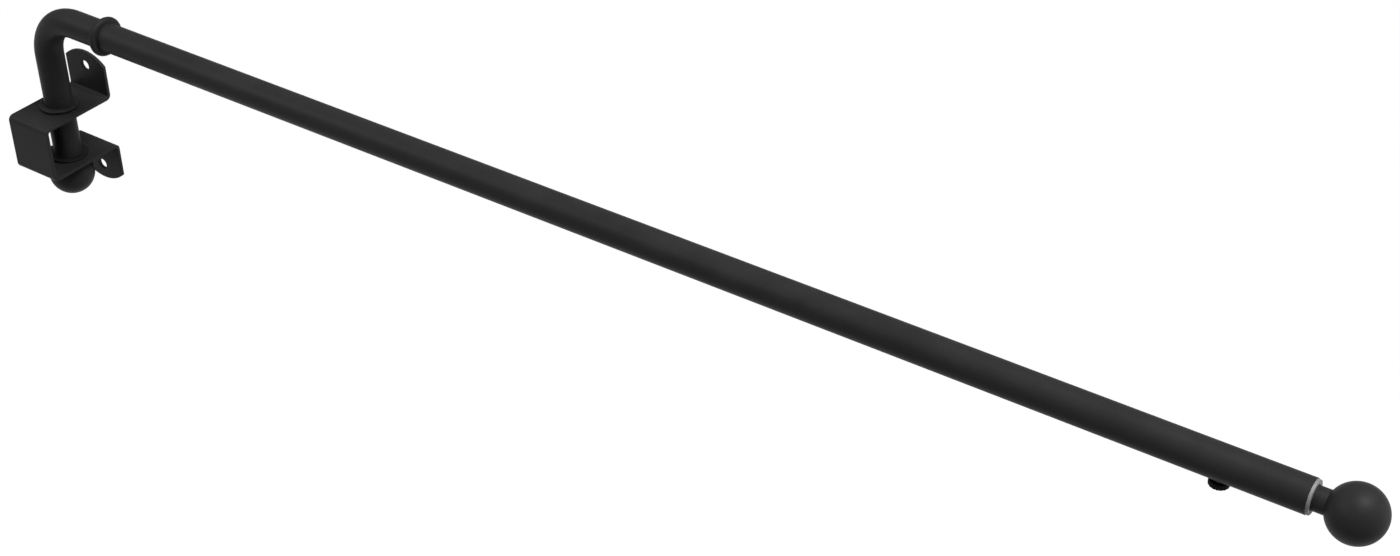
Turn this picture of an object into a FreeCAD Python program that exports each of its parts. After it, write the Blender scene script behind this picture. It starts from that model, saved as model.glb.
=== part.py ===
"""Swing arm curtain rod: a bent strap bracket, a post that swings in it, and a telescoping arm.

Frame: X runs along the arm towards its free end, +Y points into the wall, +Z is up. The origin lies
on the wall plane, midway between the bracket's two screw holes. All sizes are in millimetres.
"""
import FreeCAD
import Part
import math
import os

Vector = FreeCAD.Vector
UP = Vector(0, 0, 1)
DOWN = Vector(0, 0, -1)
OUTWARD = Vector(1, 0, 0)
ORIGIN = Vector(0, 0, 0)

# Wall bracket
strap_width = 31.0
strap_thickness = 2.0
strap_bend_radius = 1.2
bracket_depth = 49.0
bracket_box_height = 34.0
tab_height = 25.2
tab_tip_radius = 22.5
screw_hole_spacing = 66.0
screw_hole_diameter = 6.0

# Post, elbow and arm tube
post_from_wall = 24.5
arm_above_bracket = 59.8
tube_diameter = 16.0
tube_wall = 1.0
elbow_bend_radius = 26.5
elbow_leg_length = 22.4
outer_tube_length = 684.3

# Collars
collar_diameter = 22.2
post_collar_height = 1.6
connector_collar_width = 3.6
spigot_bend_clearance = 2.4
connector_bore_diameter = 8.0
spigot_chamfer = 1.0

# Pivot bushes
bush_wall = 1.0
top_flange_diameter = 20.4
top_flange_height = 0.5
bottom_flange_height = 1.4
bush_projection = 0.4
flange_edge_chamfer = 0.5

# Telescoping rod
inner_rod_diameter = 11.0
inner_rod_wall = 0.8
closed_neck_length = 6.8
glide_to_connector_gap = 78.6
glide_head_length = 9.0
glide_spigot_length = 12.0
glide_edge_chamfer = 0.8

# Guide bush in the open end of the arm tube
guide_flange_diameter = 15.4
guide_flange_length = 1.3
guide_flange_chamfer = 0.3
guide_sleeve_length = 18.0

# Ball ends
ball_diameter = 26.0
lower_seat_margin = 0.2
stud_diameter = 6.0
stud_length_in_ball = 12.0
stud_length_in_plug = 11.0
stud_chamfer = 0.6
plug_length = 15.0
tapped_hole_spare_depth = 1.5

# Lock screw under the arm tube
lock_from_tube_end = 38.0
lock_stud_diameter = 4.0
lock_tip_chamfer = 0.5
lock_bush_diameter = 6.6
lock_bush_projection = 0.3
lock_knob_diameter = 9.3
lock_knob_height = 2.9
lock_knob_chamfer = 0.6
lock_knob_socket_depth = 2.0
lock_knob_flute_count = 16
lock_knob_flute_radius = 0.6
lock_knob_flute_depth = 0.25
lock_tip_gap = 0.3
lock_head_gap = 0.3

# Clearances
fixed_clearance = 0.05
thread_clearance = 0.1
running_clearance = 0.08
ball_running_gap = 0.1
rod_side_clearance = 0.4

# Worked out from the driving sizes
tube_radius = tube_diameter / 2
tube_bore_radius = tube_radius - tube_wall
inner_rod_radius = inner_rod_diameter / 2
inner_rod_bore_radius = inner_rod_radius - inner_rod_wall
collar_radius = collar_diameter / 2
ball_radius = ball_diameter / 2
stud_radius = stud_diameter / 2

plate_top_z = bracket_box_height / 2
plate_bottom_z = -plate_top_z
tab_tip_z = plate_top_z + tab_height
post_y = -post_from_wall
arm_z = plate_top_z + arm_above_bracket

bush_bore_radius = tube_radius + running_clearance
bush_sleeve_radius = bush_bore_radius + bush_wall
pivot_bore_radius = bush_sleeve_radius + fixed_clearance
post_foot_z = plate_bottom_z - bush_projection - ball_running_gap
post_collar_z = plate_top_z + top_flange_height

connector_x = elbow_bend_radius + elbow_leg_length
connector_spigot_length = elbow_leg_length - spigot_bend_clearance
outer_tube_x = connector_x + connector_collar_width
tube_end_x = outer_tube_x + outer_tube_length
rod_end_x = tube_end_x + closed_neck_length
glide_start_x = outer_tube_x + connector_spigot_length + glide_to_connector_gap
rod_start_x = glide_start_x + glide_head_length
lock_x = tube_end_x - lock_from_tube_end

lower_ball_seat_radius = bush_sleeve_radius + lower_seat_margin
lower_ball_seat_height = math.sqrt(ball_radius ** 2 - lower_ball_seat_radius ** 2)
end_ball_seat_height = math.sqrt(ball_radius ** 2 - inner_rod_radius ** 2)

lock_tip_z = arm_z - inner_rod_radius - lock_tip_gap
lock_bush_top_z = arm_z - inner_rod_radius - rod_side_clearance
lock_bush_foot_z = arm_z - tube_radius - lock_bush_projection
lock_knob_top_z = lock_bush_foot_z - lock_head_gap


def placed(shape, base, direction):
    """Turns a shape built along +Z to point along a direction, with its foot at the base."""
    moved = shape.copy()
    turn_and_move = FreeCAD.Placement(base, FreeCAD.Rotation(UP, direction))
    moved.Placement = turn_and_move.multiply(moved.Placement)
    return moved


def on_arm(shape, x):
    """Puts a shape built along +Z on the arm's axis, starting at x."""
    return placed(shape, Vector(x, post_y, arm_z), OUTWARD)


def on_post(shape, z):
    """Puts a shape built along +Z on the post's axis, starting at z."""
    return placed(shape, Vector(0, post_y, z), UP)


def sleeve(outer_radius, bore_radius, length):
    """A plain round tube along +Z."""
    bore = Part.makeCylinder(bore_radius, length)
    return Part.makeCylinder(outer_radius, length).cut(bore)


def circular_edges_at(shape, radius, height):
    """The full circles of one radius about the Z axis at one height."""
    tolerance = 1e-4
    found = []
    for edge in shape.Edges:
        curve = edge.Curve
        if not isinstance(curve, Part.Circle):
            continue
        same_radius = abs(curve.Radius - radius) < tolerance
        same_height = abs(curve.Center.z - height) < tolerance
        if same_radius and same_height:
            found.append(edge)
    return found


def end_rims(shape, radius, length):
    """The rims at both ends of a round bar that stands on the origin."""
    return circular_edges_at(shape, radius, 0) + circular_edges_at(shape, radius, length)


def half_round_disc(radius, height):
    """A disc along +Z whose rim is a half circle in section."""
    crown = height / 2
    foot = Vector(radius - crown, 0, 0)
    rim = Vector(radius, 0, crown)
    head = Vector(radius - crown, 0, height)
    top = Vector(0, 0, height)
    outline = [
        Part.LineSegment(ORIGIN, foot).toShape(),
        Part.Arc(foot, rim, head).toShape(),
        Part.LineSegment(head, top).toShape(),
        Part.LineSegment(top, ORIGIN).toShape(),
    ]
    return Part.Face(Part.Wire(outline)).revolve(ORIGIN, UP, 360)


def strap_side_profile():
    """The bent strap seen from the side, with sharp corners, as a face in the YZ plane."""
    front_y = -bracket_depth
    inner_front_y = front_y + strap_thickness
    inner_top_z = plate_top_z - strap_thickness
    upper_half = [
        (0, tab_tip_z),
        (0, inner_top_z),
        (inner_front_y, inner_top_z),
    ]
    upper_half_outside = [
        (front_y, plate_top_z),
        (-strap_thickness, plate_top_z),
        (-strap_thickness, tab_tip_z),
    ]
    lower_half = [(y, -z) for y, z in reversed(upper_half)]
    lower_half_outside = [(y, -z) for y, z in reversed(upper_half_outside)]
    corners = upper_half + lower_half + lower_half_outside + upper_half_outside
    points = [Vector(-strap_width / 2, y, z) for y, z in corners]
    return Part.Face(Part.makePolygon(points + points[:1]))


def bend_edges(shape, y, z):
    """The strap's corner edges along X at one place of the side profile, above and below."""
    tolerance = 1e-4
    found = []
    for edge in shape.Edges:
        middle = edge.CenterOfMass
        along_x = abs(edge.Length - strap_width) < tolerance
        at_corner = abs(middle.y - y) < tolerance and abs(abs(middle.z) - z) < tolerance
        if along_x and at_corner:
            found.append(edge)
    return found


def tab_outline():
    """The strap seen from the front: straight sides and an arc at each tip."""
    half_width = strap_width / 2
    shoulder_drop = tab_tip_radius - math.sqrt(tab_tip_radius ** 2 - half_width ** 2)
    shoulder_z = tab_tip_z - shoulder_drop
    upper_left = Vector(-half_width, 0, shoulder_z)
    upper_right = Vector(half_width, 0, shoulder_z)
    lower_left = Vector(-half_width, 0, -shoulder_z)
    lower_right = Vector(half_width, 0, -shoulder_z)
    outline = [
        Part.Arc(upper_left, Vector(0, 0, tab_tip_z), upper_right).toShape(),
        Part.LineSegment(upper_right, lower_right).toShape(),
        Part.Arc(lower_right, Vector(0, 0, -tab_tip_z), lower_left).toShape(),
        Part.LineSegment(lower_left, upper_left).toShape(),
    ]
    return Part.Face(Part.Wire(outline))


def wall_bracket():
    """One steel strap, bent four times, with its tips rounded and its four holes punched."""
    strap = strap_side_profile().extrude(Vector(strap_width, 0, 0))
    outer_radius = strap_bend_radius + strap_thickness
    inner_top_z = plate_top_z - strap_thickness
    strap = strap.makeFillet(
        outer_radius,
        bend_edges(strap, 0, inner_top_z) + bend_edges(strap, -bracket_depth, plate_top_z),
    )
    strap = strap.makeFillet(
        strap_bend_radius,
        bend_edges(strap, -strap_thickness, plate_top_z)
        + bend_edges(strap, -bracket_depth + strap_thickness, inner_top_z),
    )
    blank = tab_outline().extrude(Vector(0, -bracket_depth, 0))
    strap = strap.common(blank)
    pivot_bore = Part.makeCylinder(pivot_bore_radius, bracket_box_height)
    strap = strap.cut(on_post(pivot_bore, plate_bottom_z))
    for side in (-1, 1):
        hole = Part.makeCylinder(screw_hole_diameter / 2, strap_thickness)
        base = Vector(0, 0, side * screw_hole_spacing / 2)
        strap = strap.cut(placed(hole, base, Vector(0, -1, 0)))
    return strap


def pivot_bush(flange):
    """A bush along +Z made from its flange, which stands on zero, with its sleeve below."""
    sleeve_length = strap_thickness + bush_projection
    full_length = sleeve_length + flange.BoundBox.ZLength
    sleeve_foot = Vector(0, 0, -sleeve_length)
    body = Part.makeCylinder(bush_sleeve_radius, sleeve_length, sleeve_foot)
    bore = Part.makeCylinder(bush_bore_radius, full_length, sleeve_foot)
    return body.fuse(flange).removeSplitter().cut(bore)


def top_bush():
    """The nylon bush in the top plate, with a thin flat flange under the post's collar."""
    flange = Part.makeCylinder(top_flange_diameter / 2, top_flange_height)
    return on_post(pivot_bush(flange), plate_top_z)


def bottom_bush():
    """The nylon bush in the bottom plate, with its wider flange on the plate's upper side."""
    flange = Part.makeCylinder(collar_radius, bottom_flange_height)
    rim = circular_edges_at(flange, collar_radius, bottom_flange_height)
    flange = flange.makeChamfer(flange_edge_chamfer, rim)
    return on_post(pivot_bush(flange), plate_bottom_z + strap_thickness)


def swing_arm_tube():
    """The post and the elbow: one tube, bent a quarter turn, open at both ends."""
    bend_z = arm_z - elbow_bend_radius
    post = on_post(sleeve(tube_radius, tube_bore_radius, bend_z - post_foot_z), post_foot_z)
    leg = on_arm(sleeve(tube_radius, tube_bore_radius, elbow_leg_length), elbow_bend_radius)
    bend_start = Vector(0, post_y, bend_z)
    rim = Part.Wire(Part.makeCircle(tube_radius, bend_start, UP))
    bore = Part.Wire(Part.makeCircle(tube_bore_radius, bend_start, UP))
    bend_axis_base = Vector(elbow_bend_radius, post_y, bend_z)
    section = Part.Face(rim).cut(Part.Face(bore))
    bend = section.revolve(bend_axis_base, Vector(0, 1, 0), 90)
    return post.fuse([bend, leg]).removeSplitter()


def post_collar():
    """The round-rimmed ring on the post that rests on the top bush."""
    ring = half_round_disc(collar_radius, post_collar_height)
    bore = Part.makeCylinder(tube_radius + fixed_clearance, post_collar_height)
    return on_post(ring.cut(bore), post_collar_z)


def tube_connector():
    """A round-rimmed collar with a spigot on each side, hollow through the middle."""
    collar = half_round_disc(collar_radius, connector_collar_width)
    spigot_radius = tube_bore_radius - fixed_clearance
    full_length = connector_collar_width + 2 * connector_spigot_length
    spigots = Part.makeCylinder(spigot_radius, full_length)
    tips = end_rims(spigots, spigot_radius, full_length)
    spigots = spigots.makeChamfer(spigot_chamfer, tips)
    spigots.translate(Vector(0, 0, -connector_spigot_length))
    bore = Part.makeCylinder(connector_bore_diameter / 2, full_length, Vector(0, 0, -connector_spigot_length))
    return on_arm(collar.fuse(spigots).removeSplitter().cut(bore), connector_x)


def outer_tube():
    """The arm's long tube, with a round hole in its underside for the lock screw's bush."""
    tube = on_arm(sleeve(tube_radius, tube_bore_radius, outer_tube_length), outer_tube_x)
    hole = Part.makeCylinder(lock_bush_diameter / 2 + fixed_clearance, tube_diameter)
    return tube.cut(placed(hole, Vector(lock_x, post_y, arm_z), DOWN))


def guide_bush():
    """The grey bush in the tube's open end: a sleeve inside and a thin flange outside."""
    bore_radius = inner_rod_radius + running_clearance
    sleeve_part = Part.makeCylinder(
        tube_bore_radius - fixed_clearance, guide_sleeve_length, Vector(0, 0, -guide_sleeve_length)
    )
    flange_radius = guide_flange_diameter / 2
    flange = Part.makeCylinder(flange_radius, guide_flange_length)
    rim = circular_edges_at(flange, flange_radius, guide_flange_length)
    flange = flange.makeChamfer(guide_flange_chamfer, rim)
    full_length = guide_sleeve_length + guide_flange_length
    bore = Part.makeCylinder(bore_radius, full_length, Vector(0, 0, -guide_sleeve_length))
    return on_arm(sleeve_part.fuse(flange).removeSplitter().cut(bore), tube_end_x)


def lock_bush():
    """The threaded brass bush that stands in the tube's wall."""
    height = lock_bush_top_z - lock_bush_foot_z
    bush = sleeve(lock_bush_diameter / 2, lock_stud_diameter / 2 + running_clearance, height)
    return placed(bush, Vector(lock_x, post_y, lock_bush_foot_z), UP)


def lock_stud():
    """The threaded stud, with a chamfered tip just short of the inner rod."""
    foot_z = lock_knob_top_z - lock_knob_socket_depth
    radius = lock_stud_diameter / 2
    length = lock_tip_z - foot_z
    stud = Part.makeCylinder(radius, length)
    stud = stud.makeChamfer(lock_tip_chamfer, circular_edges_at(stud, radius, length))
    return placed(stud, Vector(lock_x, post_y, foot_z), UP)


def lock_knob():
    """The moulded head: a low chamfered disc with fine flutes and a socket for the stud."""
    radius = lock_knob_diameter / 2
    knob = Part.makeCylinder(radius, lock_knob_height)
    knob = knob.makeChamfer(lock_knob_chamfer, end_rims(knob, radius, lock_knob_height))
    flute_distance = radius + lock_knob_flute_radius - lock_knob_flute_depth
    flutes = []
    for index in range(lock_knob_flute_count):
        angle = math.tau * index / lock_knob_flute_count
        centre = Vector(flute_distance * math.cos(angle), flute_distance * math.sin(angle), 0)
        flutes.append(Part.makeCylinder(lock_knob_flute_radius, lock_knob_height, centre))
    knob = knob.cut(flutes)
    socket = Part.makeCylinder(lock_stud_diameter / 2, lock_knob_socket_depth)
    socket.translate(Vector(0, 0, lock_knob_height - lock_knob_socket_depth))
    knob = knob.cut(socket)
    return placed(knob, Vector(lock_x, post_y, lock_knob_top_z - lock_knob_height), UP)


def inner_rod():
    """The thin tube that telescopes, from its hidden end to the ball's seat."""
    rod = sleeve(inner_rod_radius, inner_rod_bore_radius, rod_end_x - rod_start_x)
    return on_arm(rod, rod_start_x)


def inner_glide():
    """The nylon plug on the rod's hidden end: a wide head that slides in the arm tube."""
    head_radius = tube_bore_radius - running_clearance
    head = Part.makeCylinder(head_radius, glide_head_length)
    head = head.makeChamfer(glide_edge_chamfer, end_rims(head, head_radius, glide_head_length))
    spigot_radius = inner_rod_bore_radius - fixed_clearance
    spigot = Part.makeCylinder(spigot_radius, glide_spigot_length, Vector(0, 0, glide_head_length))
    return on_arm(head.fuse(spigot).removeSplitter(), glide_start_x)


def tapped_plug(bore_radius):
    """A threaded plug along +Z for a tube's bore, with its tapped hole open at zero."""
    plug = Part.makeCylinder(bore_radius - fixed_clearance, plug_length)
    hole_depth = stud_length_in_plug + tapped_hole_spare_depth
    return plug.cut(Part.makeCylinder(stud_radius + thread_clearance, hole_depth))


def ball_stud():
    """The stud between a plug and a ball, along +Z, with the seat's plane at zero."""
    length = stud_length_in_plug + stud_length_in_ball
    stud = Part.makeCylinder(stud_radius, length)
    stud = stud.makeChamfer(stud_chamfer, end_rims(stud, stud_radius, length))
    stud.translate(Vector(0, 0, -stud_length_in_ball))
    return stud


def seated_ball(seat_height):
    """A ball with a flat seat at zero, its centre below the seat, and a tapped hole."""
    ball = Part.makeSphere(ball_radius, Vector(0, 0, -seat_height))
    above = Part.makeCylinder(ball_radius, ball_radius)
    hole_depth = stud_length_in_ball + tapped_hole_spare_depth
    hole = Part.makeCylinder(stud_radius + thread_clearance, hole_depth, Vector(0, 0, -hole_depth))
    return ball.cut(above).cut(hole)


def post_end_plug():
    """The threaded plug in the foot of the post."""
    return on_post(tapped_plug(tube_bore_radius), post_foot_z)


def lower_ball_stud():
    """The stud that holds the lower ball."""
    return on_post(ball_stud(), post_foot_z)


def lower_ball():
    """The ball under the bracket, which keeps the post from lifting out."""
    return on_post(seated_ball(lower_ball_seat_height), post_foot_z)


def towards_post(shape):
    """Puts a shape built along +Z at the inner rod's outer end, pointing back to the post."""
    return placed(shape, Vector(rod_end_x, post_y, arm_z), Vector(-1, 0, 0))


def rod_end_plug():
    """The threaded plug in the inner rod's outer end."""
    return towards_post(tapped_plug(inner_rod_bore_radius))


def end_ball_stud():
    """The stud that holds the end ball."""
    return towards_post(ball_stud())


def end_ball():
    """The ball at the arm's free end."""
    return towards_post(seated_ball(end_ball_seat_height))


SUB_PARTS = [
    wall_bracket,
    top_bush,
    bottom_bush,
    swing_arm_tube,
    post_collar,
    post_end_plug,
    lower_ball_stud,
    lower_ball,
    tube_connector,
    outer_tube,
    guide_bush,
    lock_bush,
    lock_stud,
    lock_knob,
    inner_rod,
    inner_glide,
    rod_end_plug,
    end_ball_stud,
    end_ball,
]


def main():
    """Builds every sub-part, exports it and prints its volume and extent."""
    os.makedirs("parts", exist_ok=True)
    for build in SUB_PARTS:
        shape = build()
        name = build.__name__
        shape.exportStep(f"parts/{name}.step")
        box = shape.BoundBox
        print(
            f"{name}: solids {len(shape.Solids)}, valid {shape.isValid()}, volume {shape.Volume:.1f},"
            f" x {box.XMin:.2f}..{box.XMax:.2f}, y {box.YMin:.2f}..{box.YMax:.2f},"
            f" z {box.ZMin:.2f}..{box.ZMax:.2f}"
        )


main()
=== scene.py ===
"""Dresses the swing arm curtain rod: fine meshes, painted and moulded finishes, studio and camera.

Frame: metres, X along the arm towards its free end, +Y into the wall, +Z up. The origin lies on the
wall plane, midway between the bracket's two screw holes.
"""

import logging
import math
from dataclasses import dataclass
from enum import Enum
from typing import Any, Iterable, Sequence

import bmesh
import bpy
from mathutils import Matrix, Vector


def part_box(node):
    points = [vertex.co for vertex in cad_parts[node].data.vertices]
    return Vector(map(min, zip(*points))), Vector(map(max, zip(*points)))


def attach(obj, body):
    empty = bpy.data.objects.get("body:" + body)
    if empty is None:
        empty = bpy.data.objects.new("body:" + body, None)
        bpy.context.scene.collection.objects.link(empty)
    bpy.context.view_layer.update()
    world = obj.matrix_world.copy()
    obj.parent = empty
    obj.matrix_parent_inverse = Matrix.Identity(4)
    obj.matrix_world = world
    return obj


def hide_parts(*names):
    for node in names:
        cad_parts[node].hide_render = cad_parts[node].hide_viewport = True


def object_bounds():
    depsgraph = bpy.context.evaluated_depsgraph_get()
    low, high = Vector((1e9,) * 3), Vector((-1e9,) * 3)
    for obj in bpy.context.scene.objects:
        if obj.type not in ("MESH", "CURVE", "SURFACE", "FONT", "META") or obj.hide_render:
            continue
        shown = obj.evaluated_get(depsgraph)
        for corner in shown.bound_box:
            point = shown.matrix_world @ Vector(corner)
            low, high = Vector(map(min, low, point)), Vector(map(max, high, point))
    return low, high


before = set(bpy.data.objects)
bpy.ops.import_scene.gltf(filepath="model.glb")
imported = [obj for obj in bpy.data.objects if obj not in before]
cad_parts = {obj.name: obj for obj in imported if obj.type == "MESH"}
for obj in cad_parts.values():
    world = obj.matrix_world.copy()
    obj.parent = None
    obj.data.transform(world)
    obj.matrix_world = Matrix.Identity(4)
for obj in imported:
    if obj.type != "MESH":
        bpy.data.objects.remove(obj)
cad_low, cad_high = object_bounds()

log = logging.getLogger("curtain_rod")

MM = 0.001

WELD_DISTANCE = 0.001 * MM
RIM_WELD = 0.03 * MM
SHARP_ANGLE = math.radians(50)
FACE_WEIGHT = 90
ARC_STEPS = 6
EDGE_STEPS = 5
HOLE_RINGS = (0.25, 0.5, 0.75, 0.9, 1.0)
FIRST_CORNER_ANGLE = math.radians(-135)
SPACING_SLACK = 1e-6
RINGS_PER_PITCH = 10
THREAD_STEEPNESS = 1.3
THREAD_CREST = 0.15

CLOUDS_PER_METRE = 55.0
CLOUD_DETAIL = 3.0
CLOUD_LOW = 0.3
CLOUD_HIGH = 0.7
GRAIN_DETAIL = 2.0

Outline = list[tuple[float, float]]


class Axis(Enum):
    """The directions that the rod's turned pieces point in."""

    UP = (0.0, 0.0, 1.0)
    OUTWARD = (1.0, 0.0, 0.0)
    INWARD = (-1.0, 0.0, 0.0)

    def placement(self, base: Vector) -> Matrix:
        """Turns a piece that is built along +Z to this direction and stands it on a point."""
        turn = Vector((0.0, 0.0, 1.0)).rotation_difference(Vector(self.value))
        return Matrix.Translation(base) @ turn.to_matrix().to_4x4()


class Level(Enum):
    """How fine a turned piece is, as its number of sides."""

    SMALL = 64
    TUBE = 96
    BALL = 144
    FLUTED = 384


class NodeBoard:
    """Adds nodes to a shader or geometry tree and wires them."""

    def __init__(self, tree: bpy.types.NodeTree) -> None:
        """Takes the tree to build on and empties it."""
        self.tree = tree
        tree.nodes.clear()

    def node(self, kind: str, inputs: dict[Any, Any] | None = None, **settings: Any) -> bpy.types.Node:
        """Adds one node.

        Args:
            kind: The node's type name.
            inputs: A value, or a socket to wire in, for each input's name or number.
            settings: The node's own properties.

        Returns:
            The new node.
        """
        made = self.tree.nodes.new(kind)
        for name, value in settings.items():
            setattr(made, name, value)
        for key, value in (inputs or {}).items():
            if isinstance(value, bpy.types.NodeSocket):
                self.tree.links.new(value, made.inputs[key])
            else:
                made.inputs[key].default_value = value
        return made

    def math(self, operation: str, *operands: Any, clamp: bool = False) -> bpy.types.NodeSocket:
        """The result of one more Math node, from its operands in order."""
        settings = {"operation": operation, "use_clamp": clamp}
        return self.node("ShaderNodeMath", dict(enumerate(operands)), **settings).outputs[0]

    def vector(self, operation: str, *operands: Any) -> bpy.types.NodeSocket:
        """Adds one Vector Math node.

        Args:
            operation: The sum it works out.
            operands: Its values or sockets, in order.

        Returns:
            The vector result's socket.
        """
        inputs = dict(enumerate(operands))
        if operation == "SCALE":
            inputs = {0: operands[0], "Scale": operands[1]}
        return self.node("ShaderNodeVectorMath", inputs, operation=operation).outputs["Vector"]


class Recipe(NodeBoard):
    """A Geometry Nodes tree that shapes a blank from named sizes."""

    def __init__(self, name: str, sizes: dict[str, str]) -> None:
        """Makes the tree with its inputs.

        Args:
            name: The tree's name.
            sizes: The kind of socket for each input's name.
        """
        super().__init__(bpy.data.node_groups.new(name, "GeometryNodeTree"))
        face = self.tree.interface
        for label, kind in {"Blank": "Geometry", **sizes, "Material": "Material"}.items():
            face.new_socket(label, in_out="INPUT", socket_type=f"NodeSocket{kind}")
        face.new_socket("Shaped", in_out="OUTPUT", socket_type="NodeSocketGeometry")
        self.given = self.tree.nodes.new("NodeGroupInput").outputs

    def finish(self, geometry: bpy.types.NodeSocket) -> None:
        """Ends the tree in Realize Instances and Set Material.

        Args:
            geometry: The shaped geometry's socket.
        """
        real = self.node("GeometryNodeRealizeInstances", {"Geometry": geometry}).outputs[0]
        coat = {"Geometry": real, "Material": self.given["Material"]}
        self.node("NodeGroupOutput", {0: self.node("GeometryNodeSetMaterial", coat).outputs[0]})

    def rounded_line(self, corners: bpy.types.NodeSocket) -> bpy.types.NodeSocket:
        """Joins corner points by straight runs, with an arc of the recipe's bend radius at each.

        Args:
            corners: The socket of the mesh that holds the points and the edges between them.

        Returns:
            The curve's socket.
        """
        curve = self.node("GeometryNodeMeshToCurve", {"Mesh": corners}).outputs[0]
        arcs = {"Curve": curve, "Count": self.given["Bend Steps"], "Radius": self.given["Bend Radius"]}
        return self.node("GeometryNodeFilletCurve", arcs, mode="POLY").outputs[0]

    def shape(self, blank: bpy.types.Mesh, values: dict[str, Any]) -> bpy.types.Mesh:
        """Runs the tree on a blank.

        Args:
            blank: The mesh to shape.
            values: A value for each named input.

        Returns:
            The shaped mesh, with no modifier behind it.
        """
        holder = linked(f"{self.tree.name}_blank", blank)
        modifier = holder.modifiers.new(self.tree.name, "NODES")
        modifier.node_group = self.tree
        for socket in self.tree.interface.items_tree:
            if socket.in_out == "INPUT" and socket.name in values:
                modifier[socket.identifier] = values[socket.name]
        shaped = plain_mesh(holder)
        bpy.data.objects.remove(holder)
        return shaped


def linked(name: str, content: bpy.types.ID) -> bpy.types.Object:
    """Makes an object and links it to the scene.

    Args:
        name: The object's name.
        content: Its mesh, lamp or camera.

    Returns:
        The object.
    """
    made = bpy.data.objects.new(name, content)
    bpy.context.scene.collection.objects.link(made)
    return made


def plain_mesh(holder: bpy.types.Object) -> bpy.types.Mesh:
    """Bakes an object's modifiers into a mesh of its own.

    Args:
        holder: The object, whose modifiers are evaluated as they stand.

    Returns:
        The evaluated mesh.
    """
    bpy.context.view_layer.update()
    depsgraph = bpy.context.evaluated_depsgraph_get()
    evaluated = holder.evaluated_get(depsgraph)
    return bpy.data.meshes.new_from_object(evaluated, preserve_all_data_layers=True, depsgraph=depsgraph)


def close_up(mesh: bpy.types.Mesh) -> None:
    """Merges a mesh's doubles and turns its faces outwards.

    Args:
        mesh: The mesh to mend in place.
    """
    shell = bmesh.new()
    shell.from_mesh(mesh)
    bmesh.ops.remove_doubles(shell, verts=shell.verts, dist=WELD_DISTANCE)
    bmesh.ops.recalc_face_normals(shell, faces=shell.faces)
    shell.to_mesh(mesh)
    shell.free()


@dataclass(frozen=True)
class Finish:
    """What every finish has: the record's slot and a near-uniform colour with a fine surface."""

    slot: str
    colour: tuple[float, float, float]
    roughness: float
    roughness_spread: float
    colour_spread: float
    grain_per_metre: float
    grain_height: float
    metallic: float = 0.0
    specular_level: float = 0.5

    def material(self) -> bpy.types.Material:
        """Gives the slot's material its nodes, unless it has them already.

        Returns:
            The finish's material.
        """
        material = bpy.data.materials[self.slot]
        if material.get("dressed"):
            return material
        material["dressed"] = True
        material.use_nodes = True
        board = NodeBoard(material.node_tree)
        shader = board.node("ShaderNodeBsdfPrincipled")
        shader.inputs["Metallic"].default_value = self.metallic
        shader.inputs["Specular IOR Level"].default_value = self.specular_level
        place = board.node("ShaderNodeTexCoord").outputs["Object"]
        self.colour_nodes(board, shader, place)
        self.grain_nodes(board, shader, place)
        board.node("ShaderNodeOutputMaterial", {"Surface": shader.outputs[0]})
        return material

    def colour_nodes(self, board: NodeBoard, shader: bpy.types.Node, place: bpy.types.NodeSocket) -> None:
        """Wires the slow variation of colour and roughness.

        Args:
            board: The tree to build on.
            shader: The surface shader.
            place: The object coordinates.
        """
        cloudy = {"Vector": place, "Scale": CLOUDS_PER_METRE, "Detail": CLOUD_DETAIL}
        clouds = board.node("ShaderNodeTexNoise", cloudy).outputs[0]
        darker = tuple(c * (1 - self.colour_spread) for c in self.colour)
        lighter = tuple(c * (1 + self.colour_spread) for c in self.colour)
        ramp = board.node("ShaderNodeValToRGB", {"Fac": clouds})
        ramp.color_ramp.elements[0].position = CLOUD_LOW
        ramp.color_ramp.elements[0].color = (*darker, 1.0)
        ramp.color_ramp.elements[1].position = CLOUD_HIGH
        ramp.color_ramp.elements[1].color = (*lighter, 1.0)
        board.tree.links.new(ramp.outputs["Color"], shader.inputs["Base Color"])
        spread = {
            "Value": clouds,
            "From Min": CLOUD_LOW,
            "From Max": CLOUD_HIGH,
            "To Min": self.roughness - self.roughness_spread,
            "To Max": self.roughness + self.roughness_spread,
        }
        rough = board.node("ShaderNodeMapRange", spread)
        board.tree.links.new(rough.outputs["Result"], shader.inputs["Roughness"])

    def grain_nodes(self, board: NodeBoard, shader: bpy.types.Node, place: bpy.types.NodeSocket) -> None:
        """Wires the fine relief that breaks up the highlights.

        Args:
            board: The tree to build on.
            shader: The surface shader.
            place: The object coordinates.
        """
        grainy = {"Vector": place, "Scale": self.grain_per_metre, "Detail": GRAIN_DETAIL}
        grain = board.node("ShaderNodeTexNoise", grainy).outputs[0]
        relief = {"Height": grain, "Strength": 1.0, "Distance": self.grain_height}
        board.tree.links.new(board.node("ShaderNodeBump", relief).outputs[0], shader.inputs["Normal"])


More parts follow.
